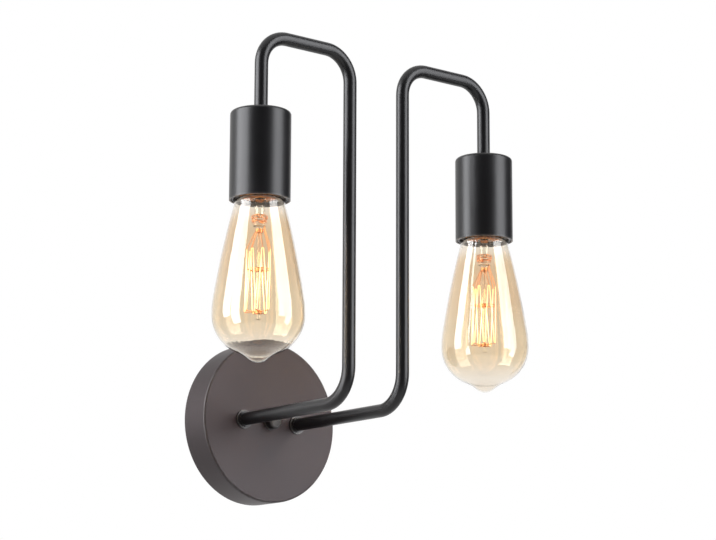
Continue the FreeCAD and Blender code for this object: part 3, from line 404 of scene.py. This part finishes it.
cup_thread = threaded_zinc("zinc_nipple_at_cup", "Z", pitch=0.0008)
for side in SIDES:
    across, forward, _ = seam(side)
    mouth = ("Z", mouth_edge_radius, (across, forward, mouth_level))
    shoulder = ("Z", shoulder_radius, (across, forward, shoulder_level))
    flange = ("Z", cup_collar_radius, (across, forward, cup_collar_level))
    finish(f"{side}_cup", tube_coat(f"{side}_cup_coat", 0.30, [mouth, shoulder]))
    finish(f"{side}_cup_collar", turned_black(f"{side}_cup_collar_black", [flange]))
    finish(f"{side}_cup_nipple", cup_thread)
    finish(f"{side}_cup_nut", zinc)


# Lampholders: a dark heat-proof moulding on a steel yoke, with a rolled copper screw shell, a
# sprung brass contact in the middle and brass terminal screws. It hangs inside the cup.
heatproof = Finish("heatproof_moulding", IOR=1.55)
swirls = heatproof.noise(scale=60, detail=3, place=heatproof.place(factors=(1, 1, 0.4)))
pores = heatproof.noise(scale=1500)
heatproof.feed(Base_Color=heatproof.between(swirls, (0.008, 0.007, 0.007), (0.016, 0.014, 0.013)),
               Roughness=pores * 0.2 + 0.34)
heatproof.bump(pores, depth=0.00002)
shell_copper = metal("rolled_shell_copper", (0.62, 0.27, 0.12), (0.86, 0.44, 0.22), 0.22)
brass = metal("contact_brass_strip", (0.52, 0.36, 0.14), (0.74, 0.55, 0.26), 0.24)
for side in SIDES:
    finish(f"{side}_holder_body", heatproof)
    finish(f"{side}_holder_yoke", zinc)
    finish(f"{side}_yoke_screws", zinc)
    finish(f"{side}_screw_shell", shell_copper)
    finish(f"{side}_centre_contact", brass)
    finish(f"{side}_terminal_screws", brass)


# Mouth rings: a split ring of spring steel in each cup's mouth, snapped in against the rim of
# the lampholder to hold it square. It is flat wire with a gap at the back.
ring_outer, ring_inner, ring_thickness, gap_half_angle = 0.01950, 0.01865, 0.00045, 0.06
holder_rim, ring_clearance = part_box("left_holder_body")[0].z, 0.00002
bpy.ops.mesh.primitive_circle_add(vertices=144, radius=ring_outer)
bpy.ops.object.mode_set(mode="EDIT")
bpy.ops.mesh.select_all(action="SELECT")
bpy.ops.mesh.extrude_edges_move()
bpy.ops.transform.resize(value=[ring_inner / ring_outer] * 2 + [1])
pick(lambda centre, normal: abs(math.atan2(centre.x, centre.y)) < gap_half_angle)
bpy.ops.mesh.delete(type="FACE")
bpy.ops.mesh.select_all(action="SELECT")
bpy.ops.mesh.extrude_region_move(TRANSFORM_OT_translate={"value": (0, 0, ring_thickness)})
split_ring = close_piece(bevel=0.00012)
spring_steel = metal("blued_spring_steel", (0.10, 0.10, 0.11), (0.19, 0.19, 0.20), 0.30)
for side in SIDES:
    across, forward, _ = seam(side)
    ring = copy_of(split_ring)
    ring.location = (across, forward, holder_rim - ring_clearance - ring_thickness)
    settle(ring, f"{side}_mouth_ring", spring_steel, "fixture")
bpy.data.objects.remove(split_ring)


# Bulb caps: thin rolled brass with a coarse thread, a black glass insulator run into its end and
# a soldered button in the middle. The button and insulator ride on a body of their own.
cap_brass = metal("rolled_cap_brass", (0.62, 0.33, 0.14), (0.82, 0.50, 0.24), 0.24)
black_glass = Finish("black_glass_insulator", IOR=1.52)
bubbles = black_glass.noise(scale=700)
black_glass.feed(
    Base_Color=black_glass.between(bubbles, (0.006, 0.006, 0.008), (0.018, 0.018, 0.022)),
    Roughness=bubbles * 0.12 + 0.05)
black_glass.bump(bubbles, depth=0.00004)
solder = metal("button_solder", (0.36, 0.36, 0.37), (0.56, 0.56, 0.57), 0.34)
for side in SIDES:
    finish(f"{side}_bulb_cap", cap_brass)
    finish(f"{side}_bulb_insulator", black_glass)
    finish(f"{side}_bulb_contact", solder)


# Bulb glass: thin blown glass with an amber film baked on, a little deeper in places, and the
# faint ripple that blowing leaves. Its amber is set by height: deeper over the upper belly, and
# paler towards the drawn tip and the neck.
amber = Finish("amber_blown_glass", IOR=1.45, Transmission_Weight=1.0)
film = amber.noise(scale=24, detail=1)
ripple = amber.noise(scale=34, detail=0, place=amber.place(factors=(1, 1, 0.45)))
height = amber.along("Z")
# Deeper amber over the upper belly and paler amber near the tip and the neck, set by height alone.
belly = height.fade(full=0.095, gone=0.060)
body = amber.between(belly, (0.84, 0.75, 0.62), (0.82, 0.67, 0.52))
body = amber.between(film, body, (0.88, 0.78, 0.63))
paler_ends = height.fade(full=0.026, gone=0.048) + height.fade(full=0.128, gone=0.113)
amber.feed(Base_Color=amber.between(paler_ends, body, (0.93, 0.885, 0.82)), Roughness=film * 0.012)
amber.bump(ripple, depth=0.00012)
for side in SIDES:
    finish(f"{side}_bulb_glass", amber)
    frame["nodes"][f"{side}_bulb_glass"].visible_shadow = False


# Stem: a clear tube flared into the bulb's neck and closed round the lead-in wires at its end,
# with a rod below that carries the wire hubs.
clear = Finish("clear_stem_glass", IOR=1.5, Transmission_Weight=1.0)
strain = clear.noise(scale=180)
clear.feed(Base_Color=clear.between(strain, (0.93, 0.92, 0.88), (0.98, 0.98, 0.96)),
           Roughness=strain * 0.02)
clear.bump(strain, depth=0.00006)
for side in SIDES:
    finish(f"{side}_bulb_stem", clear)
    frame["nodes"][f"{side}_bulb_stem"].visible_shadow = False


# Neck shields: a thin pressed copper disc under the flare of each stem, with a rolled rim and a
# hole for the tube. It keeps the filament's heat off the cap.
shield_outer, shield_hole, shield_wall, above_seam = 0.0113, 0.0043, 0.00015, 0.0002
bpy.ops.mesh.primitive_circle_add(vertices=96, radius=shield_outer)
bpy.ops.object.mode_set(mode="EDIT")
bpy.ops.mesh.select_all(action="SELECT")
rim = shield_outer
for radius, lift in ((0.0108, 0.0004), (0.0103, 0.0004), (0.0098, 0), (0.0062, 0.0002),
                     (0.0052, -0.0003), (shield_hole, -0.0003)):
    bpy.ops.mesh.extrude_edges_move()
    bpy.ops.transform.resize(value=[radius / rim] * 2 + [1])
    bpy.ops.transform.translate(value=(0, 0, lift))
    rim = radius
shield = close_piece(bevel=0)
wall = shield.modifiers.new("wall", "SOLIDIFY")
wall.thickness = shield_wall
wall.offset = 0
bpy.ops.object.modifier_apply(modifier="wall")
shield_copper = metal("shield_copper", (0.84, 0.32, 0.11), (0.98, 0.48, 0.21), 0.30)
for side in SIDES:
    across, forward, level = seam(side)
    disc = copy_of(shield)
    disc.location = (across, forward, level + above_seam)
    settle(disc, f"{side}_neck_shield", shield_copper, f"{side}_bulb")
bpy.data.objects.remove(shield)


# Press bindings: the knot of copper wire round the pressed end of the stem, three hoops with
# small upright loops hooked round them, where the wires leave the glass.
press_radius, hoop_wire, loop_radius, loops = 0.0044, 0.00028, 0.0011, 9
hoop_radius = press_radius + hoop_wire * 1.6
loop_stand_off, loop_wire = press_radius + hoop_wire * 3.2, hoop_wire * 0.8
first_hoop, hoop_spacing = -0.0128, 0.0022
first_loop = first_hoop - hoop_spacing / 2
bpy.ops.mesh.primitive_torus_add(
    major_segments=48, minor_segments=8, major_radius=hoop_radius, minor_radius=hoop_wire,
    location=(0, 0, first_hoop))
bpy.ops.object.transform_apply(location=True)
bpy.ops.object.mode_set(mode="EDIT")
for _ in range(2):
    bpy.ops.mesh.duplicate_move(TRANSFORM_OT_translate={"value": (0, 0, -hoop_spacing)})
for number in range(loops):
    angle = math.tau * number / loops
    bpy.ops.mesh.primitive_torus_add(
        major_segments=20, minor_segments=6, major_radius=loop_radius, minor_radius=loop_wire,
        location=(loop_stand_off * math.cos(angle), loop_stand_off * math.sin(angle),
                  first_loop - hoop_spacing * (number % 2)),
        rotation=(math.pi / 2, 0, angle + math.pi / 2))
knot = close_piece(bevel=0, smooth_angle=80)
hot_copper = metal("press_copper", (0.72, 0.26, 0.10), (0.96, 0.48, 0.22), 0.20)
for side in SIDES:
    binding = copy_of(knot)
    binding.location = seam(side)
    settle(binding, f"{side}_press_binding", hot_copper, f"{side}_bulb")
bpy.data.objects.remove(knot)


# Wires and filament: bright lead-ins and supports of plated wire, and a filament hung between
# them in hairpins. The filament is a fine coil, hotter along its middle than at its hooks.
coil_pitch, hot_reach = 0.0011, 0.021
filament_middle = sum(corner.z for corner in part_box("left_bulb_filament")) / 2
wire = metal("support_wire_metal", (0.54, 0.24, 0.11), (0.80, 0.42, 0.22), 0.30)
lead_wire = metal("lead_in_copper", (0.66, 0.28, 0.12), (0.92, 0.48, 0.24), 0.24)
glow = Finish("hot_filament", Base_Color=(0.9, 0.6, 0.3, 1), Roughness=0.6, Emission_Strength=2.3)
coil = (glow.along("Z") * (math.tau / coil_pitch)).sine() * 0.5 + 0.5
from_middle = glow.along("Z", (0, 0, filament_middle)) ** 2.0
heat = from_middle.fade(full=0.0, gone=hot_reach ** 2) * 0.75 + coil * 0.25
glow.feed(Emission_Color=glow.between(heat, (1.0, 0.56, 0.20), (1.0, 0.85, 0.58)))
for side in SIDES:
    finish(f"{side}_bulb_supports", wire)
    finish(f"{side}_bulb_lead_ins", lead_wire)
    finish(f"{side}_bulb_filament", glow)


# Studio: a pale floor and a pale backdrop beyond every view, seen as plain white, and a dark
# screen round the camera's side that shows in gloss alone, as a studio's unlit room would.
floor_level, backdrop_distance, stage_size = -2.1, 3.8, 14
screen_radius, screen_height, screen_middle, screen_back = 3.4, 7, 1.2, 0.6
room_light = 0.22


def looked_at(nodes):
    """1 for a ray from the camera, from gloss or through glass, and 0 for light on matt surfaces."""
    looks = sum(nodes.node("ShaderNodeLightPath", output=f"Is {kind} Ray")
                for kind in ("Camera", "Glossy", "Transmission"))
    return looks.maths("MINIMUM", looks, 1.0)


def white_surface(name):
    """A surface that is plain white where it is looked at, and pale to the light that falls on it."""
    matt = Finish(name, Base_Color=(0.85, 0.85, 0.85, 1), Roughness=1.0)
    white = matt.node("ShaderNodeEmission", (), {"Color": (1, 1, 1, 1), "Strength": 1.0})
    shaders = {0: looked_at(matt), 1: Value(matt, matt.shader.outputs[0]), 2: white}
    mixed = matt.node("ShaderNodeMixShader", (), shaders)
    matt.put(matt.tree.nodes["Material Output"].inputs["Surface"], mixed)
    return matt


bpy.ops.mesh.primitive_plane_add(size=stage_size, location=(0, 0, floor_level))
floor = bpy.context.object
floor.name = "floor"
bpy.ops.mesh.primitive_plane_add(
    size=stage_size, location=(0, backdrop_distance, floor_level + stage_size / 2),
    rotation=(math.pi / 2, 0, 0))
backdrop = bpy.context.object
backdrop.name = "backdrop"
for surface in (floor, backdrop):
    surface.data.materials.append(white_surface(f"{surface.name}_white").material)

bpy.ops.mesh.primitive_cylinder_add(
    vertices=64, radius=screen_radius, depth=screen_height, end_fill_type="NOTHING",
    location=(0, 0, screen_middle))
screen = bpy.context.object
screen.name = "screen"
bpy.ops.object.mode_set(mode="EDIT")
pick(lambda centre, normal: centre.y > screen_back)
bpy.ops.mesh.delete(type="FACE")
bpy.ops.object.mode_set(mode="OBJECT")
cloth = Finish("screen_cloth", Base_Color=(0.02, 0.02, 0.022, 1), Roughness=1.0,
               Emission_Color=(1.0, 1.0, 1.0, 1), Emission_Strength=0.07)
screen.data.materials.append(cloth.material)
screen.visible_camera = screen.visible_transmission = False
screen.visible_diffuse = screen.visible_shadow = False

world = bpy.data.worlds.new("room")
bpy.context.scene.world = world
world.use_nodes = True
room = Nodes(world.node_tree)
background = world.node_tree.nodes["Background"]
room.put(background.inputs["Color"], (1, 1, 1, 1))
room.put(background.inputs["Strength"], looked_at(room) * (1.0 - room_light) + room_light)
bpy.context.scene.view_settings.view_transform = "Standard"


# Camera: the light is seen from its left and from below. The place, the turn and the focal
# length were fitted to the edges of tubes, cups and canopy in the photograph.
yaw, pitch, roll = 0.67709, 0.20137, 0.00385
camera_place = (-1.038485, -1.420308, -0.238991)
look = Vector((math.sin(yaw) * math.cos(pitch), math.cos(yaw) * math.cos(pitch), math.sin(pitch)))
flat_right = Vector((math.cos(yaw), -math.sin(yaw), 0))
flat_up = flat_right.cross(look)
right = math.cos(roll) * flat_right + math.sin(roll) * flat_up
up = math.cos(roll) * flat_up - math.sin(roll) * flat_right
lens = bpy.data.cameras.new("camera")
lens.sensor_width = 36.0
lens.lens = 118.28
camera = bpy.data.objects.new("camera", lens)
bpy.context.scene.collection.objects.link(camera)
camera.matrix_world = (Matrix.Translation(camera_place)
                       @ Matrix((right, up, -look)).transposed().to_4x4())
bpy.context.scene.camera = camera


# Lamps: two windows of two panes each, whose reflections are the upright bands on bulbs, cups
# and tubes, and a weak light from above. A small warm lamp in each bulb spreads its glow.
window_distance, heart = 2.3, Vector((0, -0.1, 0.11))
glow_level, glow_radius, glow_power = 0.075, 0.008, 0.16


def hang(name, kind, colour, power):
    """A new lamp that the camera doesn't see."""
    data = bpy.data.lights.new(name, kind)
    data.color = colour
    data.energy = power
    lamp = bpy.data.objects.new(name, data)
    bpy.context.scene.collection.objects.link(lamp)
    lamp.visible_camera = False
    return lamp


def window(name, bearing, low, high, width, shine, spread):
    """A flat lamp given by the angles that it covers, in degrees, as seen from the object.

    Gloss and glass show it as bright as shine, and matt surfaces are lit as if it were as bright
    as spread.
    """
    middle = math.radians((low + high) / 2)
    flat = Matrix.Rotation(math.radians(bearing), 3, "Z") @ Vector((-look.x, -look.y, 0)).normalized()
    towards = flat * math.cos(middle) + Vector((0, 0, math.sin(middle)))
    sides = [2 * window_distance * math.tan(math.radians(angle) / 2) for angle in (width, high - low)]
    for part, brightness in (("shine", shine), ("spread", spread)):
        power = brightness * math.pi * sides[0] * sides[1]
        lamp = hang(f"{name}_{part}", "AREA", (0.96, 0.97, 1.0), power)
        lamp.data.shape = "RECTANGLE"
        lamp.data.size, lamp.data.size_y = sides
        lamp.matrix_world = (Matrix.Translation(heart + towards * window_distance)
                             @ towards.to_track_quat("Z", "Y").to_matrix().to_4x4())
        lamp.visible_glossy = lamp.visible_transmission = part == "shine"
        lamp.visible_diffuse = part == "spread"


window("left_outer_pane", bearing=-80, low=-8, high=42, width=23, shine=9.5, spread=0.6)
window("left_inner_pane", bearing=-55, low=-30, high=42, width=23, shine=9.0, spread=0.6)
window("right_inner_pane", bearing=60, low=-10, high=42, width=20, shine=7.5, spread=2.5)
window("right_outer_pane", bearing=80, low=-24, high=42, width=18, shine=6.0, spread=2.5)
window("overhead", bearing=0, low=58, high=100, width=60, shine=0.15, spread=0.5)

for side in SIDES:
    across, forward, _ = seam(side)
    lamp = hang(f"{side}_bulb_glow", "POINT", (1.0, 0.56, 0.22), glow_power)
    lamp.data.shadow_soft_size = glow_radius
    lamp.location = (across, forward, glow_level)
    lamp.visible_glossy = lamp.visible_transmission = False
